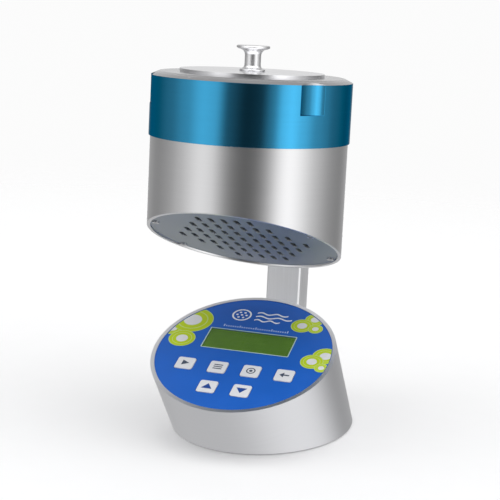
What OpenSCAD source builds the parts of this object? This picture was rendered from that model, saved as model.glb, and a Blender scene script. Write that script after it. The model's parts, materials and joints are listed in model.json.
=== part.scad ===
// Portable microbial air sampler. A fan draws room air through a sieve plate onto a
// 90 mm culture dish and blows it out through the slots under the head. The head
// hangs in front of a handle bar, which stands in a leaning round base that carries
// the keys and the display.
//
// Frame: +X to the operator's right, +Y to the back, +Z up. The origin is on the
// standing surface, in the middle of the base's rubber pad.

/* [Sampling head] */
// Outer diameter of the sampling head ring
ring_d = 120; // [118:1:124]
// Height of the sampling head ring
ring_height = 35.5; // [34:0.5:38]
// Height of the ring's top edge above the standing surface
ring_top = 227; // [224:1:232]
// Distance from the middle of the base forward to the axis of the head
head_reach = 61; // [58:1:64]
// Depth of the three finger scoops in the ring
scoop_depth = 2.8; // [2:0.1:3.2]
// Height of the finger scoops, from the ring's top edge down
scoop_height = 17; // [15:0.5:22]
// Direction of the first finger scoop, in degrees from the front towards +X
scoop_angle = 53.5; // [0:0.5:90]
// Diameter of each hole in the sieve plate
sieve_hole_d = 0.9; // [0.7:0.1:1.2]

/* [Casing] */
// Outer diameter of the casing tube under the ring
casing_d = 118; // [117:0.5:118]
// Wall thickness of the casing tube
casing_wall = 2; // [1.8:0.1:2.2]
// Depth of the slanted underside below the ring's top edge, on the axis
casing_drop = 98.5; // [97:0.5:102]
// Slope of the underside, which faces down and forward
underside_slope = 22.5; // [21:0.5:24]
// Width of an exhaust slot
slot_w = 3; // [2.4:0.1:3.4]
// Length of an exhaust slot from end to end
slot_length = 10.4; // [8:0.2:11.6]

/* [Handle bar] */
// Width of the bar
bar_w = 23; // [22:0.5:24]
// Depth of the bar from front to back
bar_depth = 22; // [21:0.5:24]
// Distance from the middle of the base back to the bar's front face
bar_y = 30; // [29:0.5:31]
// Height of the bar's top end
bar_top = 181; // [178:1:184]

/* [Base] */
// Outer diameter of the base tube
base_d = 115; // [114:0.5:116]
// Wall thickness of the base tube
base_wall = 2.5; // [2.2:0.1:2.6]
// Forward lean of the base tube
base_lean = 42; // [41:0.5:43]
// Slope of the operating panel, which rises to the back
panel_slope = 22.5; // [21.5:0.5:24]
// Height of the panel's centre above the standing surface
panel_height = 58; // [57:0.5:60]

/* [Keys and display] */
// Side of a key
key_side = 11.4; // [11:0.1:12.6]
// Distance between neighbouring keys
key_pitch = 21.2; // [20.8:0.1:21.4]
// How far a key travels
key_travel = 0.5; // [0.3:0.1:0.6]
// Width of the display window
display_w = 56; // [50:1:57]
// Height of the display window
display_h = 20.6; // [18:0.2:21]

/* [Hidden] */
$fn = 96;
fit = 0.05;             // gap of parts that are bolted or pushed into each other
m16 = 0.8;              // shank radii of the screws
m2 = 1;
m25 = 1.25;
m3 = 1.5;
m4 = 2;
far = 400;              // longer than the whole sampler

// Heights and places on the head's own axis
head_y = -head_reach;
ring_r = ring_d / 2;
seam = ring_top - ring_height;
casing_r = casing_d / 2;
casing_bore = casing_r - casing_wall;
underside = ring_top - casing_drop;
bevel_w = 5;
bevel_h = 2.3;
sieve_top = ring_top + bevel_h;
sieve_thick = 2;
ring_bore = 52.5;
ledge_top = ring_top - 4.5;
ledge_h = 3;
ledge_bore = 47.5;
pocket_r = 45;
sieve_screw_r = 49.4;
cover_r = 43;
cover_h = 2;
cover_wall = 1.6;
cover_roof = 1.3;
cover_top = sieve_top + cover_h;
step_r = cover_r - cover_wall - 0.4;
step_h = 0.4;

// Inside the casing
stage_h = 3;
stage_top = seam - 1;
spigot_h = 6.5;
spigot_r = 56;
spigot_wall = 2.5;
flange_h = 5;
flange_bore = 46.2;
stage_screw_r = 49.5;
housing_screw_r = 36;
dish_seat = 210;
carrier_h = 2;
carrier_r = 43;
column_r = 3;
column_at = 30;
housing_top = stage_top - stage_h;
housing_h = 26.5;
housing_r = 44;
housing_wall = 3;
mount_top = housing_top - housing_h;
mount_h = 2.5;
motor_r = 16;
motor_h = 16.5;
motor_screw_r = 11;
shaft_r = 2;
impeller_r = 38;
impeller_low = mount_top + 7;
blade_h = 12;
blade_count = 11;
eye_r = 21;
backing_front = head_y + 51;
bridge_low = bar_top - 24;
bridge_mid = (bar_top + bridge_low) / 2;
bar_wall = 2.5;
bar_chamfer = 1;
bar_mid_y = bar_y + bar_depth / 2;

// The underside's grille: rows of slots, and the number of slots in each row
slot_rows = [5, 7, 9, 11, 9, 7, 5];
slot_pitch = 7.85;
row_pitch = 14.1;
grille_shift = -0.9;
grille_low = 1;
grille_h = 2;
grille_screw = [48, 27];

// The base
pad_h = 2;
tube_low = 1;
plate_low = pad_h;
plate_h = 3;
plate_top = plate_low + plate_h;
base_r = base_d / 2;
base_bore = base_r - base_wall;
panel_y = -(panel_height - tube_low) * tan(base_lean);
base_screw_places = [[36.5, 37], [36, -48]];
base_lug_h = 8;
bush_y = -38;
bush_hole_r = 3.175;

// The panel, measured from the tube's slanted end
overlay_top = -0.3;
overlay_h = 0.4;
panel_top = overlay_top - overlay_h;
panel_h = 2.5;
panel_low = panel_top - panel_h;
board_top = -11.4;
board_h = 1.6;
board_low = board_top - board_h;
key_gap = 0.3;
key_row_1 = -18.4;
key_row_2 = -38.4;
key_top = overlay_top + 0.4;
key_corner = 1.6;
key_flange_h = 0.8;
flange_side = 14.5;
well_floor = board_top + 2;              // inside a key switch
stem_low = well_floor + 0.4 + key_travel; // the end of a key's stem, at rest
display_v = 11.3;
standoff_places = [[36, -28.4], [36, 23]];
lug_low = -10;
panel_screw_places = [[47, 15], [24, -46.3]];

// ---- shared shapes -------------------------------------------------------------

module at_head() { translate([0, head_y, 0]) children(); }

// the underside's own frame: Z into the head, Y back and down the slope
module on_underside() {
    translate([0, head_y, underside]) rotate([-underside_slope, 0, 0]) children();
}

// the panel's own frame: Z out of the panel, Y up the slope
module on_panel() {
    translate([0, panel_y, panel_height]) rotate([panel_slope, 0, 0]) children();
}

// the base tube's own frame: Z along the tube's leaning axis
module along_base() {
    translate([0, panel_y, panel_height]) rotate([base_lean, 0, 0]) children();
}

module leaning_core(r) { along_base() cylinder(r = r, h = far, center = true); }

// a flat slice of the leaning core between two heights
module level_slice(r, low, high) {
    intersection() {
        leaning_core(r);
        translate([-far / 2, -far / 2, low]) cube([far, far, high - low]);
    }
}

// a slice of the leaning core along the panel, between two depths
module panel_slice(r, low, high) {
    intersection() {
        leaning_core(r);
        on_panel() translate([-far / 2, -far / 2, low]) cube([far, far, high - low]);
    }
}

// a slice of the head's core along the slanted underside
module underside_slice(r, low, high) {
    intersection() {
        at_head() cylinder(r = r, h = far);
        on_underside() translate([-far / 2, -far / 2, low]) cube([far, far, high - low]);
    }
}

module ring(outer, inner, h) {
    difference() {
        cylinder(r = outer, h = h);
        translate([0, 0, -1]) cylinder(r = inner, h = h + 2);
    }
}

module rounded_square(w, h, r) {
    square([w - 2 * r, h], center = true);
    square([w, h - 2 * r], center = true);
    for (x = [-1, 1], y = [-1, 1])
        translate([x * (w / 2 - r), y * (h / 2 - r)]) circle(r = r, $fn = 32);
}

module slot(w, length) {
    square([w, length - w], center = true);
    for (y = [-1, 1]) translate([0, y * (length - w) / 2]) circle(r = w / 2, $fn = 24);
}

// copies at even angles round the head's axis
module around(count, r, start = 0) {
    for (i = [0:count - 1])
        rotate([0, 0, start + i * 360 / count]) translate([r, 0, 0]) children();
}

// copies at x and -x of each place
module both_sides(places) {
    for (p = places, side = [-1, 1]) translate([side * p[0], p[1], 0]) children();
}

// a shape and its mirror image on the other side of the sampler
module mirrored() {
    children();
    mirror([1, 0, 0]) children();
}

// a pan head screw that points down -Z, with its head's underside at z = 0
module pan_screw(shank_r, length, head_r, head_h) {
    translate([0, 0, -length]) cylinder(r = shank_r, h = length + head_h / 2, $fn = 32);
    difference() {
        cylinder(r = head_r, h = head_h, $fn = 48);
        translate([0, 0, head_h / 2]) cylinder(r = head_r * 0.45, h = head_h, $fn = 6);
    }
}

// a countersunk screw that points down -Z, with its head flush at z = 0
module flat_screw(shank_r, length) {
    translate([0, 0, -length]) cylinder(r = shank_r, h = length - shank_r, $fn = 32);
    difference() {
        translate([0, 0, -shank_r - 0.2])
            cylinder(r1 = shank_r, r2 = 2 * shank_r, h = shank_r + 0.2, $fn = 48);
        translate([0, 0, -shank_r * 0.7]) cylinder(r = shank_r * 0.7, h = far, $fn = 6);
    }
}

// the hole for it, in a plate of the given thickness
module flat_screw_hole(shank_r, depth) {
    translate([0, 0, -depth]) cylinder(r = shank_r + fit, h = depth + 1, $fn = 32);
    translate([0, 0, -shank_r - 0.25])
        cylinder(r1 = shank_r + fit, r2 = 2 * shank_r + 0.1, h = shank_r + 0.26, $fn = 48);
}

// the cutter of one finger scoop, open at the top
module scoop_cutters() {
    scoop_r = 18;
    for (i = [0:2])
        rotate([0, 0, scoop_angle - 90 + i * 120])
            translate([ring_r - scoop_depth + scoop_r, 0, ring_top - scoop_height])
                cylinder(r = scoop_r, h = scoop_height + 20);
}

// ---- dust cover ----------------------------------------------------------------

module cover_disc() color("gainsboro") at_head() {
    difference() {
        translate([0, 0, sieve_top]) cylinder(r = cover_r, h = cover_h);
        translate([0, 0, sieve_top - 1])
            cylinder(r = cover_r - cover_wall, h = cover_h - cover_roof + 1);
        translate([0, 0, cover_top - cover_roof]) mirror([0, 0, 1])
            flat_screw_hole(m2, cover_roof + 1);
    }
}

// the knob's outline: a foot, a waist and a round-edged top, joined by sweeps
knob_foot_r = 7.7;
knob_waist_r = 4.85;
knob_top_r = 10;
knob_h = 15;
function sweep_arc(cx, cy, r, from, to, steps) =
    [for (i = [0:steps]) let (a = from + (to - from) * i / steps)
        [cx + r * cos(a), cy + r * sin(a)]];

module cover_knob() color("silver") at_head() translate([0, 0, cover_top]) {
    sweep_r = 2.6;
    lip_r = 0.9;
    outline = concat(
        [[0, 0], [knob_foot_r - 0.3, 0], [knob_foot_r, 0.3], [knob_foot_r, 0.9]],
        sweep_arc(knob_waist_r + sweep_r, 1.1 + sweep_r, sweep_r, 270, 180, 8),
        sweep_arc(knob_waist_r + sweep_r + 1, 9.2, sweep_r + 1, 180, 90, 8),
        sweep_arc(knob_top_r - lip_r, knob_h - lip_r, lip_r, -60, 90, 8),
        [[0, knob_h]]);
    difference() {
        rotate_extrude() polygon(outline);
        translate([0, 0, -1]) cylinder(r = m2 + fit, h = 9, $fn = 32);
    }
}

module knob_screw() color("dimgray") at_head()
    translate([0, 0, cover_top - cover_roof]) mirror([0, 0, 1]) flat_screw(m2, 9);

// ---- sampling head -------------------------------------------------------------

module sieve_plate() color("lightgray") {
    difference() {
        at_head() {
            rotate_extrude() polygon([
                [0, ledge_top], [ring_bore - fit, ledge_top], [ring_bore - fit, ring_top],
                [ring_r, ring_top], [ring_r - bevel_w, sieve_top], [0, sieve_top]]);
            cylinder_step();
        }
        at_head() {
            translate([0, 0, ledge_top - 1])
                cylinder(r = pocket_r, h = sieve_top - sieve_thick - ledge_top + 1);
            scoop_cutters();
            translate([0, 0, ring_top - 3]) ring(ring_r, 50.9, 1.6);
            around(3, sieve_screw_r, 30)
                translate([0, 0, ledge_top - 1]) cylinder(r = m25 + fit, h = 5, $fn = 32);
            translate([0, 0, sieve_top - sieve_thick - 1]) sieve_holes();
        }
    }
}

// the low step that keeps the dust cover in the middle
module cylinder_step() {
    translate([0, 0, sieve_top - 0.5]) cylinder(r = step_r, h = step_h + 0.5);
}

module sieve_holes() {
    ring_step = 6;
    for (k = [1:6]) around(6 * k, k * ring_step, 0)
        cylinder(r = sieve_hole_d / 2, h = sieve_thick + step_h + 2, $fn = 16);
    cylinder(r = sieve_hole_d / 2, h = sieve_thick + step_h + 2, $fn = 16);
}

module sieve_seal() color("black") at_head() translate([0, 0, ring_top - 2.2])
    rotate_extrude() translate([51.7, 0]) circle(r = 0.75, $fn = 24);

module sieve_screws() color("dimgray") at_head()
    around(3, sieve_screw_r, 30)
        translate([0, 0, ledge_top - ledge_h]) mirror([0, 0, 1]) pan_screw(m25, 6, 2.2, 1.5);

module head_ring() color("steelblue") at_head() {
    difference() {
        translate([0, 0, seam]) cylinder(r = ring_r, h = ring_height);
        translate([0, 0, seam - 1]) cylinder(r = spigot_r + 0.3, h = spigot_h + 1);
        translate([0, 0, seam - 1]) cylinder(r = ledge_bore, h = ring_height + 2);
        translate([0, 0, seam + spigot_h - 1])
            cylinder(r = ring_bore, h = ledge_top - ledge_h - seam - spigot_h + 1);
        translate([0, 0, ledge_top]) cylinder(r = ring_bore, h = 20);
        scoop_cutters();
        around(3, sieve_screw_r, 30)
            translate([0, 0, ledge_top - ledge_h - 1]) cylinder(r = m25 + fit, h = 6, $fn = 32);
    }
}

module head_seal() color("black") at_head() translate([0, 0, stage_top + 3])
    rotate_extrude() translate([55.5, 0]) circle(r = 0.75, $fn = 24);

// ---- casing and what it holds --------------------------------------------------

module casing() color("silver") {
    difference() {
        union() {
            difference() {
                casing_core(casing_r);
                at_head() translate([0, 0, -1]) cylinder(r = casing_bore, h = far);
            }
            at_head() translate([0, 0, housing_top - flange_h])
                ring(casing_bore + 0.5, flange_bore, flange_h);
            intersection() {
                at_head() cylinder(r = casing_bore + 0.5, h = far);
                on_underside() for (x = [-1, 1], y = [-1, 1])
                    translate([x * (grille_screw[0] + 4), y * grille_screw[1],
                               grille_low + grille_h])
                        translate([-9, -5, 0]) cube([18, 10, 8]);
            }
        }
        on_underside() for (x = [-1, 1], y = [-1, 1])
            translate([x * grille_screw[0], y * grille_screw[1], grille_low])
                cylinder(r = m25 + fit, h = 9, $fn = 32);
        at_head() around(6, stage_screw_r, 0)
            translate([0, 0, housing_top - flange_h - 1])
                cylinder(r = m3 + fit, h = flange_h + 2, $fn = 32);
        bar_screw_places() cylinder(r = m4 + fit, h = 12, center = true, $fn = 32);
        loom_hole() cylinder(r = loom_hole_r, h = 12, center = true, $fn = 32);
    }
}

module casing_core(r) {
    intersection() {
        at_head() cylinder(r = r, h = seam);
        on_underside() translate([-far / 2, -far / 2, 0]) cube([far, far, far]);
    }
}

// places on the back of the casing, with Z pointing forward out of the bar's end
module bar_screw_places() {
    for (x = [-7, 7], z = [-7.5, 7.5])
        translate([x, head_y + casing_bore, bridge_mid + z]) rotate([90, 0, 0]) children();
}

module loom_hole() {
    translate([0, head_y + casing_bore, bridge_mid]) rotate([90, 0, 0]) children();
}

module dish_stage() color("silver") at_head() {
    difference() {
        union() {
            translate([0, 0, housing_top]) cylinder(r = casing_bore - fit, h = stage_h);
            translate([0, 0, stage_top - 0.5])
                ring(spigot_r, spigot_r - spigot_wall, spigot_h);
        }
        translate([0, 0, stage_top + 2.2]) ring(spigot_r + 1, 54.7, 1.6);
        around(6, stage_screw_r, 0) translate([0, 0, stage_top]) flat_screw_hole(m3, stage_h + 1);
        around(3, column_at, 30)
            translate([0, 0, housing_top - 1]) cylinder(r = m3 + fit, h = 6, $fn = 32);
        around(6, 15, 0) translate([0, 0, housing_top - 1]) cylinder(r = 5, h = stage_h + 2);
        translate([0, 0, housing_top - 1]) cylinder(r = 7, h = stage_h + 2);
        around(4, housing_screw_r, 45)
            translate([0, 0, stage_top]) flat_screw_hole(m25, stage_h + 1);
    }
}

module dish_carrier() color("gainsboro") at_head() {
    difference() {
        union() {
            translate([0, 0, dish_seat - carrier_h]) cylinder(r = carrier_r, h = carrier_h);
            around(3, column_at, 30)
                translate([0, 0, stage_top]) cylinder(r = column_r, h = dish_seat - stage_top - 1);
        }
        around(3, column_at, 30)
            translate([0, 0, stage_top - 1]) cylinder(r = m3 + fit, h = 9, $fn = 32);
        around(3, 41, 90) translate([0, 0, dish_seat - 3]) cylinder(r = 1.25, h = 5, $fn = 32);
        translate([0, 0, dish_seat - 3]) cylinder(r = 12, h = 5);
    }
}

// three spring clips that centre the dish
module dish_clips() color("lightsteelblue") at_head() {
    clip_r = 45.4;
    for (i = [0:2]) rotate([0, 0, 90 + i * 120]) {
        translate([clip_r, -4, dish_seat - carrier_h - 0.8]) cube([0.8, 8, 8]);
        translate([37, -4, dish_seat - carrier_h - 0.8]) cube([clip_r - 36.5, 8, 0.8]);
        translate([clip_r, -4, dish_seat + 5]) rotate([0, 25, 0]) cube([0.8, 8, 2]);
        translate([41, 0, dish_seat - carrier_h - 0.4]) cylinder(r = 1.2, h = 2, $fn = 32);
    }
}

module stage_screws() color("dimgray") at_head() {
    around(6, stage_screw_r, 0) translate([0, 0, stage_top]) flat_screw(m3, 8);
    around(4, housing_screw_r, 45) translate([0, 0, stage_top]) flat_screw(m25, 5.5);
    around(3, column_at, 30)
        translate([0, 0, housing_top + fit]) cylinder(r = m3, h = 10, $fn = 32);
}

module fan_housing() color("dimgray") at_head() {
    difference() {
        translate([0, 0, mount_top]) cylinder(r = housing_r, h = housing_h);
        translate([0, 0, mount_top - 1])
            cylinder(r = housing_r - housing_wall, h = housing_h - 1.5);
        cylinder(r = eye_r, h = far);
        around(4, housing_screw_r, 45)
            translate([0, 0, housing_top - 6]) cylinder(r = m25 + fit, h = 8, $fn = 32);
        around(3, housing_r - housing_wall / 2, 90)
            translate([0, 0, mount_top - 1]) cylinder(r = m16 + fit, h = 6, $fn = 24);
    }
}

module impeller() color("darkslategray") at_head() translate([0, 0, impeller_low]) {
    difference() {
        union() {
            cylinder(r = impeller_r, h = 1.5);
            cylinder(r = 6, h = 10);
            for (i = [0:blade_count - 1]) rotate([0, 0, i * 360 / blade_count])
                translate([22, 0, 1]) rotate([0, 0, -28])
                    translate([0, -0.6, 0]) cube([15, 1.2, blade_h]);
        }
        translate([0, 0, -1]) cylinder(r = shaft_r + fit, h = 8, $fn = 32);
    }
}

module motor_shaft() color("silver") at_head()
    translate([0, 0, mount_top - mount_h - 8]) cylinder(r = shaft_r, h = 21.5, $fn = 32);

module motor() color("slategray") at_head() {
    motor_top = mount_top - mount_h;
    difference() {
        union() {
            translate([0, 0, motor_top - motor_h]) cylinder(r = motor_r, h = motor_h);
            translate([0, 0, motor_top - 0.5]) cylinder(r = 4, h = 2.5, $fn = 48);
        }
        translate([0, 0, motor_top - 8.5]) cylinder(r = shaft_r + fit, h = 20, $fn = 32);
        around(3, motor_screw_r, 90)
            translate([0, 0, motor_top - 4]) cylinder(r = m2 + fit, h = 5, $fn = 24);
    }
}

module motor_mount() color("gray") at_head() translate([0, 0, mount_top - mount_h]) {
    difference() {
        union() {
            ring(housing_r, housing_r - 4, mount_h);
            cylinder(r = 15, h = mount_h);
            for (i = [0:2]) rotate([0, 0, 90 + i * 120])
                translate([12, -4, 0]) cube([housing_r - 14, 8, mount_h]);
        }
        translate([0, 0, -1]) cylinder(r = 4 + fit, h = 5, $fn = 48);
        around(3, motor_screw_r, 90) translate([0, 0, -1]) cylinder(r = m2 + fit, h = 5, $fn = 24);
        around(3, housing_r - housing_wall / 2, 90)
            translate([0, 0, -1]) cylinder(r = m16 + fit, h = 5, $fn = 24);
    }
}

module motor_screws() color("dimgray") at_head()
    around(3, motor_screw_r, 90) translate([0, 0, mount_top]) pan_screw(m2, 5, 1.9, 1.2);

module mount_screws() color("dimgray") at_head()
    around(3, housing_r - housing_wall / 2, 90) {
        translate([0, 0, mount_top - mount_h]) mirror([0, 0, 1]) pan_screw(m16, 7, 1.5, 1);
    }

// the board in the head that drives the motor
board_y = head_y + 46;
head_board_h = 1.6;
module head_board() color("darkgreen") {
    difference() {
        translate([-18, board_y, bridge_mid - 45]) cube([36, head_board_h, 32]);
        board_screw_places() cylinder(r = m25 + fit, h = 6, center = true, $fn = 24);
    }
    translate([-4, board_y - 0.5, bridge_mid - 19]) cube([8, 4, 6.5]);
    translate([-15, board_y - 2, bridge_mid - 40]) cube([9, 2.2, 9]);
    translate([7, board_y - 5, bridge_mid - 41]) cube([7, 5.2, 10]);
}

module board_screw_places() {
    for (x = [-13, 13])
        translate([x, board_y, bridge_mid - 18]) rotate([90, 0, 0]) children();
}

// hot-wire probe that reads the flow of the blown air
module flow_sensor() color("goldenrod") {
    translate([-3, board_y - 4, bridge_mid - 33]) cube([6, 4 - fit, 8]);
    translate([0, board_y - 3.5, bridge_mid - 29]) rotate([90, 0, 0])
        cylinder(r = 1, h = 7, $fn = 24);
}

module board_screws() color("dimgray")
    board_screw_places() pan_screw(m25, 9, 2.2, 1.5);

module exhaust_plate() color("slategray") {
    difference() {
        underside_slice(casing_bore - fit, grille_low, grille_low + grille_h);
        on_underside() {
            for (row = [0:len(slot_rows) - 1], i = [0:slot_rows[row] - 1])
                translate([(i - (slot_rows[row] - 1) / 2) * slot_pitch,
                           (row - 3) * row_pitch + grille_shift, 0])
                    linear_extrude(height = 5) slot(slot_w, slot_length);
            for (x = [-1, 1], y = [-1, 1])
                translate([x * grille_screw[0], y * grille_screw[1], 0])
                    cylinder(r = m25 + fit, h = 5, $fn = 32);
        }
    }
}

module exhaust_screws() color("gainsboro") on_underside()
    for (x = [-1, 1], y = [-1, 1])
        translate([x * grille_screw[0], y * grille_screw[1], grille_low])
            mirror([0, 0, 1]) pan_screw(m25, 8, 2.2, 0.9);

// ---- handle bar ----------------------------------------------------------------

// block inside the casing that spreads the load of the bar's screws, with the spacers
// that carry the head's board
module bar_backing() color("gray") {
    difference() {
        intersection() {
            at_head() cylinder(r = casing_bore - fit, h = far);
            translate([-16, backing_front, bridge_mid - 23]) cube([32, 12, 36]);
        }
        bar_screw_places() cylinder(r = m4 + fit, h = 30, center = true, $fn = 32);
        loom_hole() cylinder(r = loom_hole_r, h = 30, center = true, $fn = 32);
        board_screw_places() cylinder(r = m25 + fit, h = 30, center = true, $fn = 24);
    }
    spacer_h = backing_front - board_y - head_board_h;
    board_screw_places() translate([0, 0, -head_board_h - spacer_h - 0.5]) difference() {
        cylinder(r = 2.5, h = spacer_h + 0.5, $fn = 32);
        translate([0, 0, -1]) cylinder(r = m25 + fit, h = spacer_h + 3, $fn = 24);
    }
}

module bar_screws() color("dimgray")
    for (x = [-7, 7], z = [-7.5, 7.5])
        translate([x, backing_front, bridge_mid + z]) rotate([90, 0, 0])
            pan_screw(m4, 18, 3.4, 2.4);

// the bar's section, with chamfered corners
module bar_section(w, depth, chamfer) {
    polygon([[-w / 2 + chamfer, 0], [w / 2 - chamfer, 0], [w / 2, chamfer],
             [w / 2, depth - chamfer], [w / 2 - chamfer, depth],
             [-w / 2 + chamfer, depth], [-w / 2, depth - chamfer], [-w / 2, chamfer]]);
}

module handle_bar() color("lightgray") {
    foot_h = 9;
    difference() {
        union() {
            translate([0, bar_y, plate_top]) linear_extrude(height = bar_top - plate_top)
                bar_section(bar_w, bar_depth, bar_chamfer);
            translate([0, bar_y + 4, bridge_low]) rotate([90, 0, 0])
                linear_extrude(height = bar_y - head_y - 36)
                    bar_section(bar_w, bar_top - bridge_low, bar_chamfer);
        }
        translate([-bar_w / 2 + bar_wall, bar_y + bar_wall, plate_top + foot_h])
            cube([bar_w - 2 * bar_wall, bar_depth - 2 * bar_wall, far]);
        at_head() cylinder(r = casing_r + fit / 5, h = far);
        loom_hole() translate([0, 0, -37]) cylinder(r = loom_hole_r, h = 40, $fn = 32);
        bar_screw_places() translate([0, 0, -18]) cylinder(r = m4 + fit, h = 20, $fn = 32);
        translate([0, bar_y - 1, loom_low]) rotate([-90, 0, 0])
            cylinder(r = loom_hole_r, h = bar_wall + 2, $fn = 32);
        foot_screw_places() cylinder(r = m4 + fit, h = 14, center = true, $fn = 32);
    }
}

module foot_screw_places() {
    for (x = [-5.5, 5.5]) translate([x, bar_mid_y, plate_top]) children();
}

module bar_plug() color("dimgray")
    translate([-bar_w / 2 + bar_wall + fit, bar_y + bar_wall + fit, bar_top - 3])
        cube([bar_w - 2 * bar_wall - 2 * fit, bar_depth - 2 * bar_wall - 2 * fit, 3]);

module foot_screws() color("dimgray") foot_screw_places()
    translate([0, 0, -plate_h]) mirror([0, 0, 1]) flat_screw(m4, 9);

// cable from the board in the head, through the bar, to the control board
loom_r = 2;
loom_hole_r = 3.5;
loom_low = 44;
loom_bend = 6;
loom_head_bend = 4;
loom_end_y = panel_y + 28.5;
module loom() color("black") {
    head_line = head_y + 47.5;
    quarter = [head_line + loom_head_bend, bar_mid_y - loom_bend];
    translate([0, head_line, bridge_mid - 12.5])
        cylinder(r = loom_r, h = 12.5 - loom_head_bend, $fn = 24);
    translate([0, quarter[0], bridge_mid - loom_head_bend]) elbow(loom_head_bend, 90);
    translate([0, quarter[0], bridge_mid]) rotate([-90, 0, 0])
        cylinder(r = loom_r, h = quarter[1] - quarter[0], $fn = 24);
    translate([0, quarter[1], bridge_mid - loom_bend]) elbow(loom_bend, 0);
    translate([0, bar_mid_y, loom_low + loom_bend])
        cylinder(r = loom_r, h = bridge_mid - loom_low - 2 * loom_bend, $fn = 24);
    translate([0, quarter[1], loom_low + loom_bend]) elbow(loom_bend, -90);
    translate([0, loom_end_y, loom_low]) rotate([-90, 0, 0])
        cylinder(r = loom_r, h = quarter[1] - loom_end_y, $fn = 24);
}

// a quarter turn of cable in the YZ plane, which starts at the given angle
module elbow(bend, start) {
    rotate([0, 90, 0]) rotate([0, 0, start + 90])
        rotate_extrude(angle = 90, $fn = 48) translate([bend, 0]) circle(r = loom_r, $fn = 24);
}

// ---- base ----------------------------------------------------------------------

socket_angle = 32;
socket_place = -76;

// a place on the sloping back wall, with Z out of the wall
module back_wall(angle) {
    along_base() rotate([0, 0, angle]) translate([0, base_r, socket_place])
        rotate([-90, 0, 0]) children();
}

module base_tube() color("silver") {
    difference() {
        union() {
            difference() {
                base_body(base_r);
                leaning_core(base_bore);
            }
            intersection() {
                leaning_core(base_bore + 0.5);
                union() {
                    on_panel() mirrored() {
                        translate([panel_screw_places[0][0], panel_screw_places[0][1], lug_low])
                            translate([-5, -6, 0]) cube([14, 12, panel_low - lug_low]);
                        translate([panel_screw_places[1][0], panel_screw_places[1][1], lug_low])
                            translate([-5, -14, 0]) cube([10, 18, panel_low - lug_low]);
                    }
                    mirrored() for (p = base_screw_places)
                        translate([p[0] - 4.5, p[1] - 6, plate_top]) cube([20, 12, base_lug_h]);
                }
            }
        }
        on_panel() both_sides(panel_screw_places)
            translate([0, 0, lug_low - 1]) cylinder(r = m25 + fit, h = 12, $fn = 32);
        both_sides(base_screw_places)
            translate([0, 0, plate_top - 1]) cylinder(r = m3 + fit, h = base_lug_h + 2, $fn = 32);
        translate([-bar_w / 2 - 0.2, bar_y - 0.2, plate_top + 5])
            cube([bar_w + 0.4, bar_depth + 0.4, 100]);
        back_wall(-socket_angle) {
            translate([0, 0, -0.6]) cylinder(r = 8.5, h = 5);
            cylinder(r = 6.45, h = 20, center = true);
        }
        back_wall(socket_angle) {
            translate([0, 0, -0.5]) cylinder(r = 6.5, h = 5);
            cylinder(r = 5 + fit, h = 20, center = true);
        }
    }
}

module base_body(r) {
    intersection() {
        leaning_core(r);
        translate([-far / 2, -far / 2, tube_low]) cube([far, far, far]);
        on_panel() translate([-far / 2, -far / 2, -far]) cube([far, far, far]);
    }
}

module panel_plate() color("gray") {
    difference() {
        panel_slice(base_bore - fit, panel_low, panel_top);
        on_panel() {
            key_windows();
            translate([0, display_v, panel_low - 1]) linear_extrude(height = panel_h + 2)
                rounded_square(display_w + 0.6, display_h + 0.6, 0.3);
            both_sides(panel_screw_places) translate([0, 0, panel_top]) flat_screw_hole(m25, 5);
            both_sides(standoff_places)
                translate([0, 0, panel_low - 1]) cylinder(r = m2 + fit, h = 2.5, $fn = 24);
        }
    }
}

// the key openings, which run through the plate and the overlay
module key_windows() {
    for (p = key_places) translate([p[0], p[1], -8]) linear_extrude(height = 10)
        rounded_square(key_side + 2 * key_gap, key_side + 2 * key_gap, key_corner + key_gap);
}

key_places = [[-1.5 * key_pitch, key_row_1], [-0.5 * key_pitch, key_row_1],
              [0.5 * key_pitch, key_row_1], [1.5 * key_pitch, key_row_1],
              [-0.5 * key_pitch, key_row_2], [0.5 * key_pitch, key_row_2]];

module panel_screws() color("dimgray") on_panel()
    both_sides(panel_screw_places) translate([0, 0, panel_top]) flat_screw(m25, 8);

module panel_overlay() color("royalblue") {
    difference() {
        panel_slice(base_bore - fit, panel_top, overlay_top);
        on_panel() {
            key_windows();
            translate([0, display_v, panel_top - 1]) linear_extrude(height = 3)
                rounded_square(display_w, display_h, 0.3);
        }
    }
}

// a key: its cap, the flange that keeps it in, and its stem into the switch
module key(i) {
    cap_low = panel_low - key_gap;
    on_panel() translate([key_places[i][0], key_places[i][1], 0]) {
        translate([0, 0, cap_low - 0.1]) linear_extrude(height = key_top - cap_low + 0.1)
            rounded_square(key_side, key_side, key_corner);
        translate([0, 0, cap_low - key_flange_h]) linear_extrude(height = key_flange_h)
            rounded_square(flange_side, flange_side, key_corner);
        translate([0, 0, stem_low]) cylinder(r = 1.5, h = cap_low - 0.5 - stem_low, $fn = 32);
    }
}

module key_start() color("whitesmoke") key(0);
module key_menu() color("whitesmoke") key(1);
module key_select() color("whitesmoke") key(2);
module key_back() color("whitesmoke") key(3);
module key_up() color("whitesmoke") key(4);
module key_down() color("whitesmoke") key(5);

module display_window() color("lightcyan") on_panel()
    translate([0, display_v, panel_top - 0.1]) linear_extrude(height = overlay_top - panel_top + 0.1)
        rounded_square(display_w - 2 * fit, display_h - 2 * fit, 0.3);

module display_cell() color("darkolivegreen") on_panel()
    translate([0, display_v, panel_low]) linear_extrude(height = panel_h - 0.2)
        square([display_w + 0.2, display_h + 0.2], center = true);

module display_module() color("dimgray") on_panel()
    translate([-31, display_v - 12.8, panel_low - 5.8]) cube([62, 25.6, 5.8 - fit]);

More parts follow.
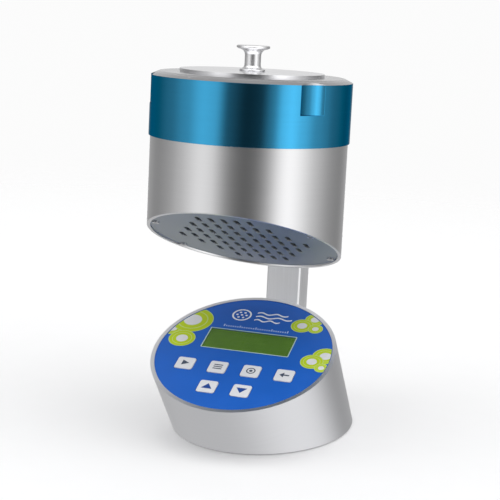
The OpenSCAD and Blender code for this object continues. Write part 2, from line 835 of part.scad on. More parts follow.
module control_board() color("darkgreen") on_panel() {
    difference() {
        union() {
            translate([-40, -31, board_low]) cube([80, 58, board_h]);
            translate([-20, -46, board_low]) cube([40, 16, board_h]);
        }
        both_sides(standoff_places)
            translate([0, 0, board_low - 1]) cylinder(r = m2 + fit, h = 4, $fn = 24);
    }
    translate([-6, 8, board_low - 9]) cube([12, 12, 9.2]);
    translate([-26, -16, board_low - 2]) cube([16, 16, 2.2]);
    translate([14, -12, board_low - 3]) cube([10, 8, 3.2]);
    for (i = [0:2]) translate([16 + 7 * i, 10, board_low - 6])
        cylinder(r = 2.6, h = 6.2, $fn = 32);
}

module key_switches() color("black") on_panel()
    for (p = key_places) translate([p[0], p[1], board_top]) difference() {
        translate([-3, -3, 0]) cube([6, 6, 4]);
        translate([0, 0, well_floor - board_top]) cylinder(r = 1.9, h = 4, $fn = 32);
    }

module board_standoffs() color("gold") on_panel()
    both_sides(standoff_places) translate([0, 0, board_top]) difference() {
        cylinder(r = 2.2, h = panel_low - board_top, $fn = 32);
        translate([0, 0, -1]) cylinder(r = m2 + fit, h = 20, $fn = 24);
    }

module standoff_screws() color("dimgray") on_panel()
    both_sides(standoff_places)
        translate([0, 0, board_low]) mirror([0, 0, 1]) pan_screw(m2, 6, 1.9, 1.2);

// two cells side by side in a sleeve
cell_r = 9.3;
cell_y = [-10, 8.8];
pack_half = 34;
module battery_pack() color("darkorange") {
    for (y = cell_y) translate([-pack_half, y, plate_top + fit + cell_r]) rotate([0, 90, 0])
        cylinder(r = cell_r, h = 2 * pack_half);
    translate([-pack_half + 1, cell_y[0], plate_top + fit + 1])
        cube([2 * pack_half - 2, cell_y[1] - cell_y[0], 2 * cell_r - 2]);
}

// strap that holds the battery pack down
module battery_bracket() color("silver") {
    low = cell_y[0] - cell_r - 0.2;
    high = cell_y[1] + cell_r + 0.2;
    top = plate_top + fit + 2 * cell_r + 0.1;
    strap = 1.2;
    difference() {
        union() {
            translate([-8, low - strap, plate_top])
                cube([16, high - low + 2 * strap, top + strap - plate_top]);
            translate([-8, low - 7.5, plate_top]) cube([16, high - low + 15, strap]);
        }
        translate([-9, low, plate_top - 1]) cube([18, high - low, top - plate_top + 1]);
        bracket_screw_places() cylinder(r = m25 + fit, h = 8, center = true, $fn = 24);
    }
}

module bracket_screw_places() {
    for (y = [cell_y[0] - cell_r - 4.4, cell_y[1] + cell_r + 4.4])
        translate([0, y, plate_top]) children();
}

module bracket_screws() color("dimgray")
    bracket_screw_places() translate([0, 0, 1.2]) pan_screw(m25, 3.6, 2.2, 1.5);

module base_plate() color("gray") {
    difference() {
        level_slice(base_bore - fit, plate_low, plate_top);
        both_sides(base_screw_places)
            translate([0, 0, plate_low]) mirror([0, 0, 1]) flat_screw_hole(m3, 5);
        foot_screw_places() translate([0, 0, -plate_h]) mirror([0, 0, 1]) flat_screw_hole(m4, 5);
        bracket_screw_places() translate([0, 0, -2.5]) cylinder(r = m25 + fit, h = 5, $fn = 24);
        translate([0, bush_y, 0]) cylinder(r = 5 + fit, h = 20);
    }
}

module base_screws() color("dimgray")
    both_sides(base_screw_places)
        translate([0, 0, plate_low]) mirror([0, 0, 1]) flat_screw(m3, 9);

module base_pad() color("black") {
    difference() {
        level_slice(base_bore - 3, 0, pad_h);
        both_sides(base_screw_places) translate([0, 0, -1]) cylinder(r = 4, h = 5);
        translate([0, bush_y, -1]) cylinder(r = 9, h = 5);
    }
}

module tripod_bush() color("goldenrod") translate([0, bush_y, 0]) {
    difference() {
        union() {
            translate([0, 0, plate_low]) cylinder(r = 5, h = 10.5);
            translate([0, 0, plate_top]) cylinder(r = 7, h = 1.5);
        }
        translate([0, 0, plate_low - 1]) cylinder(r = bush_hole_r, h = 10, $fn = 48);
    }
}

module dc_socket() color("black") back_wall(socket_angle) {
    difference() {
        union() {
            translate([0, 0, -0.5]) cylinder(r = 6.2, h = 1.3);
            translate([0, 0, -12.5]) cylinder(r = 5, h = 12.5);
        }
        translate([0, 0, -9.5]) cylinder(r = 2.75, h = 12, $fn = 48);
    }
    translate([0, 0, -10]) cylinder(r = 1, h = 9, $fn = 24);
}

rocker_tilt = 7;
rocker_depth = -3;
module power_switch() color("black") back_wall(-socket_angle) {
    difference() {
        union() {
            translate([0, 0, -0.6]) cylinder(r = 8, h = 1.8);
            translate([0, 0, -16]) cylinder(r = 6.4, h = 16);
        }
        translate([-3.8, -5.3, -10]) cube([7.6, 10.6, 20]);
        translate([0, 0, rocker_depth]) rotate([0, 90, 0])
            cylinder(r = 0.85, h = 9.4, center = true, $fn = 32);
    }
}

module power_rocker() color("firebrick") back_wall(-socket_angle)
    translate([0, 0, rocker_depth]) rotate([-rocker_tilt, 0, 0]) {
        rotate([90, 0, 90]) translate([0, 0, -3.5]) linear_extrude(height = 7)
            polygon([[-4.4, 0], [-4.4, 5.2], [0, 4.4], [4.4, 5.2], [4.4, 0], [0, -3.5]]);
        rotate([0, 90, 0]) cylinder(r = 0.8, h = 9, center = true, $fn = 32);
    }

// ---- one line for each node ----------------------------------------------------

cover_disc();
cover_knob();
knob_screw();
sieve_plate();
sieve_seal();
sieve_screws();
head_ring();
head_seal();
casing();
dish_stage();
dish_carrier();
dish_clips();
stage_screws();
fan_housing();
impeller();
motor_shaft();
motor();
motor_mount();
motor_screws();
mount_screws();
head_board();
flow_sensor();
board_screws();
exhaust_plate();
exhaust_screws();
bar_backing();
bar_screws();
handle_bar();
bar_plug();
foot_screws();
loom();
base_tube();
panel_plate();
panel_screws();
panel_overlay();
key_start();
key_menu();
key_select();
key_back();
key_up();
key_down();
display_window();
display_cell();
display_module();
control_board();
key_switches();
board_standoffs();
standoff_screws();
battery_pack();
battery_bracket();
bracket_screws();
base_plate();
base_screws();
base_pad();
tripod_bush();
dc_socket();
power_switch();
power_rocker();
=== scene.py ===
"""Portable microbial air sampler: the looks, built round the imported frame."""
import json
import math

import bmesh
import bpy
from mathutils import Matrix, Vector

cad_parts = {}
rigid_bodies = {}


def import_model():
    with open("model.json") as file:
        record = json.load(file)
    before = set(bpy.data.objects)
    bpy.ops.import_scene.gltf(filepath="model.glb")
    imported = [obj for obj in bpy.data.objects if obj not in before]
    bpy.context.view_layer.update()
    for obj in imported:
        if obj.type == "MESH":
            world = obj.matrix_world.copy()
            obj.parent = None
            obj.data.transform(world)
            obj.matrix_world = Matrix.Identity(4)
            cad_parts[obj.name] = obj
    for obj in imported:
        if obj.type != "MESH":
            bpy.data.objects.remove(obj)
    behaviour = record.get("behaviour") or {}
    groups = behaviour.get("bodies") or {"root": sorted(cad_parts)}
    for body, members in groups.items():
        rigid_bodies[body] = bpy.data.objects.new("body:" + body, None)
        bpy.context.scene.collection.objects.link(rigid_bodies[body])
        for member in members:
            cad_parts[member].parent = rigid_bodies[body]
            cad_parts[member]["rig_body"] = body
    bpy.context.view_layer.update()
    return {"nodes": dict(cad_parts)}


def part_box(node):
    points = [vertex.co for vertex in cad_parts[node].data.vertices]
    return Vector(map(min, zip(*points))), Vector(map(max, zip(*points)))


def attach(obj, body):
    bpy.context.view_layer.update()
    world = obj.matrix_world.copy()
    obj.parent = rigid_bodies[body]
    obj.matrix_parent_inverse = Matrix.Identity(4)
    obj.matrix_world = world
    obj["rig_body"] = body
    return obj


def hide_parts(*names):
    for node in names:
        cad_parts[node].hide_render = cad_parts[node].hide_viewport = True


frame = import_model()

MM = 0.001


# ---- the frame's own measures --------------------------------------------------

def centre(node):
    low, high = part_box(node)
    return (low + high) / 2


HEAD = Vector((0.0, centre("casing").y, 0.0))
RING_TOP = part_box("head_ring")[1].z
PANEL_SLOPE = math.radians(22.5)
BASE_LEAN = math.radians(42)
UP = Vector((0, 0, 1))
BASE_AXIS = Vector((0, -math.sin(BASE_LEAN), math.cos(BASE_LEAN)))
PANEL_UP = Vector((0, math.cos(PANEL_SLOPE), math.sin(PANEL_SLOPE)))
PANEL_NORMAL = Vector((0, -math.sin(PANEL_SLOPE), math.cos(PANEL_SLOPE)))

# ---- camera --------------------------------------------------------------------

SENSOR = 36
CAMERA_AZIMUTH = 17.31
CAMERA_ELEVATION = 9.8
CAMERA_ROLL = 2.82
CAMERA_DISTANCE = 0.8519
AIM_RIGHT = 0.00386
AIM_DOWN = 0.1033
LENS = 101.34


def camera_axes():
    """Horizontal directions from the object towards the camera, and to its right."""
    az = math.radians(CAMERA_AZIMUTH)
    return Vector((math.sin(az), -math.cos(az), 0)), Vector((math.cos(az), math.sin(az), 0))


def make_camera():
    towards, right = camera_axes()
    el = math.radians(CAMERA_ELEVATION)
    back = towards * math.cos(el) + UP * math.sin(el)
    aim = HEAD + UP * (RING_TOP - AIM_DOWN) + right * AIM_RIGHT
    data = bpy.data.cameras.new("camera")
    data.lens = LENS
    data.sensor_width = SENSOR
    data.clip_start, data.clip_end = 0.01, 50
    camera = bpy.data.objects.new("camera", data)
    turn = (-back).to_track_quat("-Z", "Y").to_matrix().to_4x4()
    roll = Matrix.Rotation(math.radians(CAMERA_ROLL), 4, "Z")
    camera.matrix_world = Matrix.Translation(aim + back * CAMERA_DISTANCE) @ turn @ roll
    bpy.context.scene.collection.objects.link(camera)
    bpy.context.scene.camera = camera


# ---- node helpers --------------------------------------------------------------

class Tree:
    """A node tree with short calls for the nodes used here."""

    def __init__(self, tree):
        self.tree = tree
        tree.nodes.clear()

    def node(self, kind, settings=None, **inputs):
        made = self.tree.nodes.new("ShaderNode" + kind)
        for key, value in (settings or {}).items():
            setattr(made, key, value)
        for key, value in inputs.items():
            self.put(made.inputs[key.replace("_", " ")], value)
        return made

    def put(self, socket, value):
        if isinstance(value, bpy.types.NodeSocket):
            self.tree.links.new(value, socket)
        else:
            socket.default_value = value

    def math(self, operation, a, b=0.0, clamp=False):
        made = self.node("Math", {"operation": operation, "use_clamp": clamp})
        self.put(made.inputs[0], a)
        self.put(made.inputs[1], b)
        return made.outputs[0]

    def vector(self, operation, a, b=(0, 0, 0)):
        made = self.node("VectorMath", {"operation": operation})
        self.put(made.inputs[0], a)
        if operation == "SCALE":
            self.put(made.inputs["Scale"], b)
        else:
            self.put(made.inputs[1], b)
        scalar = operation in ("DOT_PRODUCT", "LENGTH")
        return made.outputs["Value" if scalar else "Vector"]

    def noise(self, vector, scale, detail=3.0, roughness=0.55):
        made = self.node("TexNoise", Scale=scale, Detail=detail, Roughness=roughness)
        self.put(made.inputs["Vector"], vector)
        return made.outputs["Fac"]

    def span(self, value, low, high, to_low=0.0, to_high=1.0, smooth=False):
        made = self.node("MapRange", {"interpolation_type": "SMOOTHSTEP" if smooth else "LINEAR"})
        for socket, item in zip(made.inputs[:5], (value, low, high, to_low, to_high)):
            self.put(socket, item)
        return made.outputs[0]

    def mix(self, factor, a, b):
        made = self.node("Mix", {"data_type": "RGBA"})
        self.put(made.inputs["Factor"], factor)
        self.put(made.inputs[6], a)
        self.put(made.inputs[7], b)
        return made.outputs[2]

    def ramp(self, factor, stops, interpolation="EASE"):
        made = self.node("ValToRGB")
        made.color_ramp.interpolation = interpolation
        elements = made.color_ramp.elements
        while len(elements) > 1:
            elements.remove(elements[-1])
        elements[0].position = stops[0][0]
        elements[0].color = (*[stops[0][1]] * 3, 1)
        for place, level in stops[1:]:
            elements.new(place).color = (*[level] * 3, 1)
        self.put(made.inputs[0], factor)
        return made.outputs[0]


def rgba(colour, gain=1.0):
    return (colour[0] * gain, colour[1] * gain, colour[2] * gain, 1.0)


def material(name, **sockets):
    """A new material, its tree and its shader, with uniform values on the shader's sockets."""
    made = bpy.data.materials.new(name)
    made.use_nodes = True
    tree = Tree(made.node_tree)
    shader = tree.node("BsdfPrincipled")
    output = tree.node("OutputMaterial")
    tree.put(output.inputs["Surface"], shader.outputs[0])
    for key, value in sockets.items():
        shader.inputs[key.replace("_", " ")].default_value = value
    return made, tree, shader


def bump(tree, shader, height, distance, strength=1.0):
    made = tree.node("Bump", Strength=strength, Distance=distance, Height=height)
    tree.put(shader.inputs["Normal"], made.outputs[0])


# ---- light ---------------------------------------------------------------------

# the studio's brightness round the horizon, by direction from the camera's side
BELT = ((-180, 0.80), (-152, 0.40), (-125, 0.24), (-100, 0.33), (-76, 0.58), (-54, 1.02),
        (-40, 0.92), (-24, 0.16), (-4, 0.04), (12, 0.06), (26, 0.40), (38, 1.25), (48, 1.50),
        (62, 1.05), (82, 0.56), (112, 0.27), (136, 0.22), (156, 0.46), (180, 0.80))
FRONT_TOP = 2.15
BACK_TOP = 0.42
# the light from below, on the camera's left and on its right
BELOW_LEFT = 0.56
BELOW_RIGHT = 0.92
BACKDROP = 0.97


def make_world():
    world = bpy.data.worlds.new("studio")
    bpy.context.scene.world = world
    world.use_nodes = True
    tree = Tree(world.node_tree)
    towards, right = camera_axes()
    direction = tree.node("TexCoord").outputs["Generated"]
    front = tree.vector("DOT_PRODUCT", direction, towards)
    side = tree.vector("DOT_PRODUCT", direction, right)
    height = tree.node("SeparateXYZ", Vector=direction).outputs["Z"]
    turn = tree.math("DIVIDE", tree.math("ARCTAN2", side, front), 2 * math.pi)
    belt = tree.ramp(tree.math("ADD", turn, 0.5), [(a / 360 + 0.5, v) for a, v in BELT])
    top = tree.span(front, -0.5, 0.5, BACK_TOP, FRONT_TOP, smooth=True)
    upper = tree.mix(tree.span(height, 0.30, 0.68, smooth=True), belt, top)
    below = tree.span(side, -0.1, 0.6, BELOW_LEFT, BELOW_RIGHT, smooth=True)
    lower = tree.mix(tree.span(height, -0.62, -0.28, smooth=True), below, upper)
    seen = tree.node("LightPath").outputs["Is Camera Ray"]
    colour = tree.mix(seen, lower, (BACKDROP,) * 3 + (1,))
    background = tree.node("Background", Color=colour)
    tree.put(tree.node("OutputWorld").inputs["Surface"], background.outputs[0])
    bpy.context.scene.view_settings.view_transform = "Standard"


def make_floor():
    """A pale disc that fades out into the backdrop."""
    radius = 1.6
    bm = bmesh.new()
    bmesh.ops.create_circle(bm, cap_ends=True, radius=radius, segments=96)
    floor = add_object("floor", bm)
    floor.visible_glossy = False
    made, tree, shader = material("floor_paper", Roughness=0.9)
    shader.inputs["Specular IOR Level"].default_value = 0.1
    place = tree.node("TexCoord").outputs["Object"]
    tree.put(shader.inputs["Base Color"],
             tree.mix(tree.noise(place, 40), rgba((0.93, 0.93, 0.935)), rgba((0.945, 0.945, 0.95))))
    clear = tree.node("BsdfTransparent")
    fade = tree.node("MixShader")
    tree.put(fade.inputs[0],
             tree.span(tree.vector("LENGTH", place), 0.45, radius * 0.95, smooth=True))
    tree.put(fade.inputs[1], shader.outputs[0])
    tree.put(fade.inputs[2], clear.outputs[0])
    tree.put(tree.tree.nodes["Material Output"].inputs["Surface"], fade.outputs[0])
    floor.data.materials.append(made)


# ---- materials -----------------------------------------------------------------

def turned_metal(name, colour, roughness, middle, axis=UP, grain=0.5, line=0.9, dirt=0.06, **more):
    """Metal with fine lines round an axis, on its walls and on its flat faces alike.
    line is the width of the widest lines in mm, grain how much they change the gloss."""
    made, tree, shader = material(name, Metallic=1.0, Anisotropic=0.55, **more)
    place = tree.vector("SUBTRACT", tree.node("TexCoord").outputs["Object"], tuple(middle))
    round_axis = tree.vector("CROSS_PRODUCT", tuple(axis), place)
    radius = tree.vector("LENGTH", round_axis)
    along = tree.math("ADD", tree.vector("DOT_PRODUCT", tuple(axis), place), radius)
    unit = tree.vector("SCALE", tree.vector("NORMALIZE", round_axis), 1.6)
    across = tree.vector("SCALE", tuple(axis), tree.math("MULTIPLY", along, 1 / (line * MM)))
    lines = tree.vector("ADD", unit, across)
    coarse = tree.noise(lines, 1.0, 4.0, 0.6)
    fine = tree.noise(tree.vector("ADD", unit, tree.vector("SCALE", across, 3.7)), 1.0, 2.0)
    cloud = tree.noise(place, 22, 3.0)
    streaks = tree.math("MULTIPLY_ADD", coarse, 0.6)
    tree.put(streaks.node.inputs[2], tree.math("MULTIPLY", fine, 0.4))
    tint = tree.math("ADD", tree.math("MULTIPLY", streaks, 0.7), tree.math("MULTIPLY", cloud, 0.3))
    tree.put(shader.inputs["Base Color"],
             tree.mix(tree.span(tint, 0.3, 0.7), rgba(colour, 1 - dirt), rgba(colour, 1 + dirt)))
    tree.put(shader.inputs["Roughness"],
             tree.span(tint, 0.25, 0.75, roughness * (1 - grain * 0.3), roughness * (1 + grain * 0.3)))
    tree.put(shader.inputs["Tangent"], tree.vector("NORMALIZE", round_axis))
    bump(tree, shader, streaks, 0.012 * MM, 0.5 * grain)
    return made


def brushed_metal(name, colour, roughness, scale, dirt=0.05, **more):
    """Metal with straight lines: scale is the density of the grain along X, Y and Z."""
    made, tree, shader = material(name, Metallic=1.0, **more)
    place = tree.node("TexCoord").outputs["Object"]
    lines = tree.node("Mapping", Vector=place, Scale=scale).outputs[0]
    grain = tree.noise(lines, 1.0, 4.0, 0.6)
    cloud = tree.noise(place, 30, 3.0)
    tint = tree.math("ADD", tree.math("MULTIPLY", grain, 0.65), tree.math("MULTIPLY", cloud, 0.35))
    tree.put(shader.inputs["Base Color"],
             tree.mix(tree.span(tint, 0.3, 0.7), rgba(colour, 1 - dirt), rgba(colour, 1 + dirt)))
    tree.put(shader.inputs["Roughness"],
             tree.span(tint, 0.25, 0.75, roughness * 0.82, roughness * 1.18))
    bump(tree, shader, grain, 0.012 * MM, 0.4)
    return made


def moulded(name, colour, roughness, grain=0.05, spread=0.08, scale=2400, **more):
    """Moulded plastic, rubber or paint with an eroded grain; grain is its depth in mm."""
    made, tree, shader = material(name, **more)
    place = tree.node("TexCoord").outputs["Object"]
    cloud = tree.noise(place, 60, 3.0)
    fine = tree.noise(place, scale, 2.0)
    tree.put(shader.inputs["Base Color"],
             tree.mix(tree.span(cloud, 0.3, 0.7), rgba(colour, 1 - spread), rgba(colour, 1 + spread)))
    tree.put(shader.inputs["Roughness"], tree.span(cloud, 0.3, 0.7, roughness * 0.85, roughness * 1.15))
    bump(tree, shader, fine, grain * MM, 0.5)
    return made


def circuit_board(name):
    """Green solder mask over copper tracks."""
    made, tree, shader = material(name, Roughness=0.35)
    place = tree.node("TexCoord").outputs["Object"]
    cells = tree.node("TexVoronoi", {"feature": "DISTANCE_TO_EDGE"}, Scale=260.0, Vector=place)
    track = tree.span(cells.outputs["Distance"], 0.04, 0.09)
    tree.put(shader.inputs["Base Color"],
             tree.mix(track, rgba((0.05, 0.22, 0.07)), rgba((0.012, 0.085, 0.03))))
    bump(tree, shader, track, 0.03 * MM, 0.5)
    return made


def display_glow(name):
    """Backlit green cell of a character display, with its rows of faint empty cells."""
    made, tree, shader = material(name, Roughness=0.5)
    shader.inputs["Specular IOR Level"].default_value = 0.2
    place = tree.node("TexCoord").outputs["Object"]
    middle = tuple(centre("display_cell"))
    local = tree.vector("SUBTRACT", place, middle)
    across = tree.node("SeparateXYZ", Vector=local).outputs["X"]
    up = tree.vector("DOT_PRODUCT", local, tuple(PANEL_UP))
    cell_w, cell_h = 2.55 * MM, 4.6 * MM
    inside = []
    for value, pitch, share in ((across, cell_w, 0.84), (up, cell_h, 0.86)):
        phase = tree.math("ABSOLUTE", tree.math("SUBTRACT", tree.math("FRACT",
                tree.math("ADD", tree.math("DIVIDE", value, pitch), 50.0)), 0.5))
        inside.append(tree.span(phase, share / 2 - 0.03, share / 2 + 0.03, 1.0, 0.0))
    cell = tree.math("MULTIPLY", *inside)
    cloud = tree.noise(place, 70, 3.0)
    base = tree.mix(tree.span(cloud, 0.3, 0.7),
                    rgba((0.155, 0.350, 0.042)), rgba((0.210, 0.440, 0.058)))
    shade = tree.mix(tree.math("MULTIPLY", cell, 0.35), base, rgba((0.115, 0.265, 0.030)))
    tree.put(shader.inputs["Base Color"], shade)
    return made


# ---- mesh helpers --------------------------------------------------------------

def add_object(name, bm, smooth=True, sharp=35):
    mesh = bpy.data.meshes.new(name)
    if smooth:
        for face in bm.faces:
            face.smooth = True
        for edge in bm.edges:
            edge.smooth = len(edge.link_faces) != 2 or edge.calc_face_angle(0) < math.radians(sharp)
    bm.to_mesh(mesh)
    bm.free()
    made = bpy.data.objects.new(name, mesh)
    bpy.context.scene.collection.objects.link(made)
    return made


def finish_piece(piece, body, made):
    piece.data.materials.clear()
    piece.data.materials.append(made)
    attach(piece, body)


def softened(node, made, width, segments=2, angle=28):
    """A copy of a CAD node with its sharp edges rounded off, which stands for the node."""
    bm = bmesh.new()
    bm.from_mesh(frame["nodes"][node].data)
    bmesh.ops.remove_doubles(bm, verts=bm.verts, dist=1e-6)
    bmesh.ops.dissolve_limit(bm, angle_limit=math.radians(0.3), verts=bm.verts, edges=bm.edges)
    edges = [e for e in bm.edges
             if len(e.link_faces) == 2 and e.calc_face_angle(0) > math.radians(angle)]
    bmesh.ops.bevel(bm, geom=edges, offset=width * MM, segments=segments, profile=0.5,
                    affect="EDGES", clamp_overlap=True)
    piece = add_object(node + "_finished", bm)
    piece.modifiers.new("normals", "WEIGHTED_NORMAL").keep_sharp = True
    finish_piece(piece, frame["nodes"][node]["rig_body"], made)
    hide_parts(node)
    return piece


def dress(nodes, made):
    for node in nodes:
        for slot in frame["nodes"][node].material_slots:
            slot.material = made


# ---- the operating panel's prints ----------------------------------------------

LEAN_ON_PANEL = BASE_LEAN - PANEL_SLOPE
OVERLAY_TOP = -0.3
OVERLAY_MID = -0.5
PANEL_CENTRE = centre("panel_overlay") - BASE_AXIS * (OVERLAY_MID * MM / math.cos(LEAN_ON_PANEL))
OVERLAY_U = (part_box("panel_overlay")[1].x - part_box("panel_overlay")[0].x) / 2 / MM
OVERLAY_V = OVERLAY_U / math.cos(LEAN_ON_PANEL)
KEY_TOP = 0.1
DISPLAY_HEIGHT = 20.6


def on_panel(u, v, h):
    """A point in the panel's own measures: right, up the slope and out of it, in mm."""
    return PANEL_CENTRE + (Vector((u, 0, 0)) + PANEL_UP * v + PANEL_NORMAL * h) * MM


def panel_place(node):
    """Where a CAD node's middle is on the panel, in mm."""
    offset = centre(node) - PANEL_CENTRE
    return offset.x / MM, offset.dot(PANEL_UP) / MM


def arc(u, v, r, start=0, end=360, count=48):
    """Points on a circle; a whole turn leaves out the repeated last point."""
    last = count if end - start < 360 else count - 1
    return [(u + r * math.cos(math.radians(start + (end - start) * i / count)),
             v + r * math.sin(math.radians(start + (end - start) * i / count)))
            for i in range(last + 1)]


def box_points(u, v, w, h, r=0.0):
    """A rectangle, with its corners rounded to r."""
    if not r:
        return [(u + x * w / 2, v + y * h / 2) for x, y in ((-1, -1), (1, -1), (1, 1), (-1, 1))]
    points = []
    for x, y, turn in ((1, 1, 0), (-1, 1, 90), (-1, -1, 180), (1, -1, 270)):
        points += arc(u + x * (w / 2 - r), v + y * (h / 2 - r), r, turn, turn + 90, 6)
    return points


def within_overlay(points, middle, margin=0.35):
    """Points that fall outside the overlay are drawn back to its edge, towards the middle."""
    kept = []
    for u, v in points:
        share = 1.0
        for _ in range(60):
            a, b = middle[0] + (u - middle[0]) * share, middle[1] + (v - middle[1]) * share
            if (a / (OVERLAY_U - margin)) ** 2 + (b / (OVERLAY_V - margin)) ** 2 <= 1:
                break
            share -= 1 / 60
        kept.append((a, b))
    return kept


def printed(name, shapes, low, thick, body, made):
    """A layer of ink or a thin label. Each shape is an outline, or an outline and a hole
    with the same number of points."""
    bm = bmesh.new()
    for outline, hole in shapes:
        loops = []
        for points, h in ((outline, low), (outline, low + thick), (hole, low), (hole, low + thick)):
            loops.append([bm.verts.new(on_panel(u, v, h)) for u, v in points or ()])
        bottom, top, hole_bottom, hole_top = loops
        count = len(bottom)
        for i in range(count):
            j = (i + 1) % count
            bm.faces.new((bottom[i], bottom[j], top[j], top[i]))
            if hole:
                bm.faces.new((hole_top[i], hole_top[j], hole_bottom[j], hole_bottom[i]))
                bm.faces.new((top[i], top[j], hole_top[j], hole_top[i]))
                bm.faces.new((bottom[j], bottom[i], hole_bottom[i], hole_bottom[j]))
        if not hole:
            bm.faces.new(top)
            bm.faces.new(bottom[::-1])
    bmesh.ops.recalc_face_normals(bm, faces=bm.faces)
    piece = add_object(name, bm, smooth=False)
    finish_piece(piece, body, made)
    return piece


def wavy_line(u, v, length, width, waves=2.0, rise=0.9, count=40):
    upper, lower = [], []
    for i in range(count + 1):
        t = i / count
        place = u + t * length
        swing = v + rise * math.sin(2 * math.pi * waves * t)
        upper.append((place, swing + width / 2))
        lower.append((place, swing - width / 2))
    return upper + lower[::-1]


# ringed discs on the overlay: right, up, outer radius, in mm
DISCS = ((-52.5, 16.0, 6.5), (-43.0, 27.5, 13.4), (-43.0, 6.6, 8.6),
         (34.5, 43.0, 6.6), (28.0, 34.8, 7.2), (37.2, 33.0, 4.8),
         (51.0, 6.0, 8.2), (44.2, -1.2, 7.2), (51.5, -6.4, 4.4))
INK_STEP = 0.012


def make_discs(lime, lime_edge, pale):
    for i, (u, v, r) in enumerate(DISCS):
        low = OVERLAY_TOP + INK_STEP * 4 * (i % 3)
        inside = (u, v)
        layers = (("edge", r, r - 0.45, lime_edge), ("body", r - 0.45, r * 0.74, lime),
                  ("line", r * 0.74, r * 0.69, lime_edge), ("inner", r * 0.69, r * 0.44, lime),
                  ("dot", r * 0.44, 0, pale))
        for layer, outer, inner, made in layers:
            outline = within_overlay(arc(u, v, outer, count=72), inside)
            hole = within_overlay(arc(u, v, inner, count=72), inside) if inner else None
            printed(f"disc_{i + 1}_{layer}", [(outline, hole)], low, INK_STEP * 3.5, "stand",
                    made)


def make_pictogram(white):
    """A sieve over a dish, with the air that it draws: a plain sign."""
    u, v = -13.5, 39.2
    shapes = [(arc(u, v, 6.4, count=64), arc(u, v, 5.3, count=64)), (arc(u, v, 0.8, count=20), None)]
    shapes += [(arc(u + 3.1 * math.cos(math.radians(60 * i)), v + 3.1 * math.sin(math.radians(60 * i)),
                    0.8, count=20), None) for i in range(6)]
    printed("sign_sieve", shapes, OVERLAY_TOP, INK_STEP * 3, "stand", white)
    lines = [(wavy_line(-4.0, v + 4.0 - 4.0 * i, length, 1.25), None)
             for i, length in enumerate((20.5, 24.0, 17.0))]
    printed("sign_air", lines, OVERLAY_TOP, INK_STEP * 3, "stand", white)


def make_scale(made):
    """A row of fine ticks over the display."""
    count = 29
    ticks = []
    for i in range(count):
        tall = 2.3 if i % 7 == 0 else 1.3
        ticks.append((box_points(-21 + 42 * i / (count - 1), 25.0 + tall / 2, 0.65, tall), None))
    printed("scale_ticks", ticks, OVERLAY_TOP, INK_STEP * 3, "stand", made)


def make_key_signs(dark, blue):
    signs = {
        "key_start": [([(-2.0, -2.5), (2.6, 0), (-2.0, 2.5)], None)],
        "key_menu": [(box_points(0, y, 5.6, 0.9), None) for y in (-1.9, 0, 1.9)],
        "key_select": [(arc(0, 0, 2.9, count=40), arc(0, 0, 2.15, count=40)),
                       (arc(0, 0, 1.1, count=24), None)],
        "key_back": [([(-3.1, 0), (-0.4, -2.4), (-0.4, -0.6), (3.0, -0.6), (3.0, 0.6),
                       (-0.4, 0.6), (-0.4, 2.4)], None)],
        "key_up": [([(-3.4, -2.3), (3.4, -2.3), (0, 2.7)], None)],
        "key_down": [([(-3.4, 2.3), (0, -2.7), (3.4, 2.3)], None)],
    }
    for key, shapes in signs.items():
        u, v = panel_place(key)
        moved = [([(x + u, y + v) for x, y in outline],
                  [(x + u, y + v) for x, y in hole] if hole else None) for outline, hole in shapes]
        made = blue if key in ("key_up", "key_down") else dark
        printed(key + "_sign", moved, KEY_TOP, INK_STEP * 2, key, made)


def make_display_frame(made):
    """The pale line round the display's window."""
    u, v = panel_place("display_window")
    low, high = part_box("display_window")
    w = (high.x - low.x) / MM
    h = DISPLAY_HEIGHT
    outline = box_points(u, v, w + 1.3, h + 1.3, 0.7)
    hole = box_points(u, v, w + 0.1, h + 0.1, 0.3)
    printed("display_outline", [(outline, hole)], OVERLAY_TOP, INK_STEP * 3, "stand",
            made)


make_camera()
make_world()
make_floor()

# ---- the finishes --------------------------------------------------------------

HEAD_MIDDLE = HEAD + UP * RING_TOP

ANODISED = turned_metal("anodised_blue", (0.055, 0.38, 0.66), 0.15, HEAD_MIDDLE, grain=0.2,
                        line=1.0, dirt=0.05, Specular_Tint=(0.15, 0.35, 0.45, 1.0))
CASING_METAL = turned_metal("brushed_casing", (0.82, 0.82, 0.83), 0.29, HEAD_MIDDLE, line=1.2,
                            grain=0.15, dirt=0.02)
SIEVE_METAL = turned_metal("turned_sieve_plate", (0.66, 0.66, 0.67), 0.26, HEAD_MIDDLE, line=0.7,
                           grain=0.4)
COVER_METAL = turned_metal("turned_cover", (0.84, 0.84, 0.86), 0.20, HEAD_MIDDLE, line=0.6,
                           grain=0.4)
KNOB_METAL = turned_metal("polished_knob", (0.90, 0.90, 0.91), 0.30, HEAD_MIDDLE, line=0.4,
                          grain=0.3, dirt=0.03)
BASE_METAL = turned_metal("brushed_base", (0.83, 0.835, 0.86), 0.36, PANEL_CENTRE, BASE_AXIS,
                          line=1.2, grain=0.2, dirt=0.02)
BAR_METAL = brushed_metal("brushed_bar", (0.95, 0.955, 0.97), 0.55, (900, 900, 25))
# the grille's dark, bluish grey is partly its own metal and partly painted shade and a painted blue
# reflection, for the shaded floor and blue panel that it mirrors
GRILLE_SHADED_METAL = brushed_metal("satin_grille_painted_shade", (0.46, 0.49, 0.52), 0.55, (30, 700, 700))
INNER_METAL = brushed_metal("milled_aluminium", (0.72, 0.72, 0.73), 0.38, (60, 700, 700))
SPRING_METAL = brushed_metal("spring_steel", (0.62, 0.63, 0.66), 0.22, (500, 60, 500))
SCREW_METAL = brushed_metal("plated_screws", (0.60, 0.60, 0.61), 0.28, (900, 900, 900))
BRASS = brushed_metal("turned_brass", (0.80, 0.58, 0.26), 0.28, (900, 900, 900))
MOTOR_METAL = brushed_metal("motor_can_steel", (0.45, 0.47, 0.50), 0.3, (40, 40, 900))
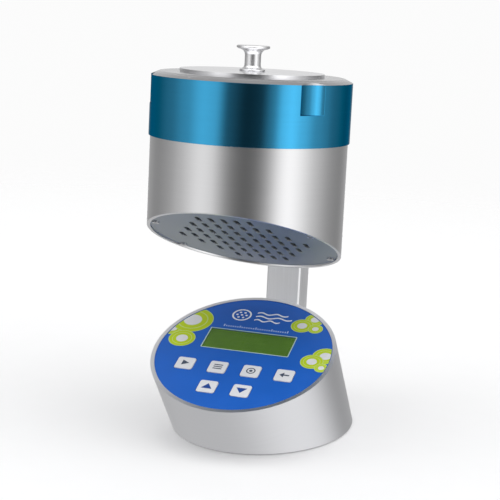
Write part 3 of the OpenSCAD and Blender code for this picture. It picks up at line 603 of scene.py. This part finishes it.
RUBBER = moulded("black_rubber", (0.018, 0.018, 0.019), 0.7, 0.08)
DARK_PLASTIC = moulded("dark_plastic", (0.022, 0.023, 0.025), 0.42)
FAN_PLASTIC = moulded("fan_plastic", (0.045, 0.048, 0.052), 0.38)
CABLE_JACKET = moulded("cable_jacket", (0.02, 0.02, 0.02), 0.5, 0.04)
RED_PLASTIC = moulded("rocker_plastic", (0.42, 0.02, 0.018), 0.33)
SLEEVE = moulded("battery_sleeve", (0.75, 0.22, 0.03), 0.3, 0.03)
BOARD = circuit_board("circuit_board")
MODULE = moulded("display_housing", (0.05, 0.05, 0.055), 0.5)
OVERLAY = moulded("overlay_blue", (0.010, 0.110, 0.50), 0.45, 0.025, 0.04, 3000,
                  Specular_IOR_Level=0.25)
KEY_PLASTIC = moulded("key_plastic", (0.72, 0.73, 0.76), 0.42, 0.03, 0.02)
LIME = moulded("ink_lime", (0.46, 0.60, 0.012), 0.5, 0.02, 0.05, Specular_IOR_Level=0.25)
LIME_EDGE = moulded("ink_lime_edge", (0.52, 0.68, 0.22), 0.5, 0.02, 0.05, Specular_IOR_Level=0.25)
PALE_INK = moulded("ink_pale", (0.70, 0.71, 0.73), 0.5, 0.02, 0.03, Specular_IOR_Level=0.25)
WHITE_INK = moulded("ink_white", (0.85, 0.88, 0.93), 0.5, 0.02, 0.02, Specular_IOR_Level=0.25)
SOFT_INK = moulded("ink_light_blue", (0.50, 0.64, 0.84), 0.5, 0.02, 0.03, Specular_IOR_Level=0.25)
DARK_INK = moulded("ink_dark", (0.055, 0.075, 0.12), 0.5, 0.02, 0.06, Specular_IOR_Level=0.25)
BLUE_INK = moulded("ink_blue", (0.012, 0.06, 0.28), 0.5, 0.02, 0.05, Specular_IOR_Level=0.25)
FRAME_INK = moulded("ink_frame", (0.50, 0.66, 0.55), 0.5, 0.02, 0.05, Specular_IOR_Level=0.25)
DISPLAY = display_glow("display_glow")
WINDOW = moulded("display_lens", (0.02, 0.035, 0.012), 0.12, 0.004, 0.1, 400, Alpha=0.16)

# ---- the CAD nodes -------------------------------------------------------------

softened("head_ring", ANODISED, 0.3)
softened("casing", CASING_METAL, 0.3)
softened("sieve_plate", SIEVE_METAL, 0.15)
softened("cover_disc", COVER_METAL, 0.25, 3)
softened("cover_knob", KNOB_METAL, 0.15)
softened("base_tube", BASE_METAL, 0.3)
softened("handle_bar", BAR_METAL, 0.25)
softened("exhaust_plate", GRILLE_SHADED_METAL, 0.15)
KEYS = ("key_start", "key_menu", "key_select", "key_back", "key_up", "key_down")
for key in KEYS:
    softened(key, KEY_PLASTIC, 0.25)

dress(("knob_screw", "sieve_screws", "stage_screws", "motor_screws", "mount_screws",
       "board_screws", "exhaust_screws", "bar_screws", "foot_screws", "panel_screws",
       "standoff_screws", "bracket_screws", "base_screws"), SCREW_METAL)
dress(("sieve_seal", "head_seal", "base_pad"), RUBBER)
dress(("dish_stage", "dish_carrier", "bar_backing", "panel_plate", "base_plate"), INNER_METAL)
dress(("dish_clips", "battery_bracket", "motor_shaft"), SPRING_METAL)
dress(("fan_housing", "impeller", "motor_mount"), FAN_PLASTIC)
dress(("motor",), MOTOR_METAL)
dress(("head_board", "control_board"), BOARD)
dress(("tripod_bush", "board_standoffs", "flow_sensor"), BRASS)
dress(("bar_plug", "dc_socket", "power_switch", "key_switches"), DARK_PLASTIC)
dress(("loom",), CABLE_JACKET)
dress(("battery_pack",), SLEEVE)
dress(("power_rocker",), RED_PLASTIC)
dress(("display_module",), MODULE)
dress(("display_cell",), DISPLAY)
dress(("display_window",), WINDOW)
dress(("panel_overlay",), OVERLAY)

make_discs(LIME, LIME_EDGE, PALE_INK)
make_pictogram(WHITE_INK)
make_scale(SOFT_INK)
make_key_signs(DARK_INK, BLUE_INK)
make_display_frame(FRAME_INK)
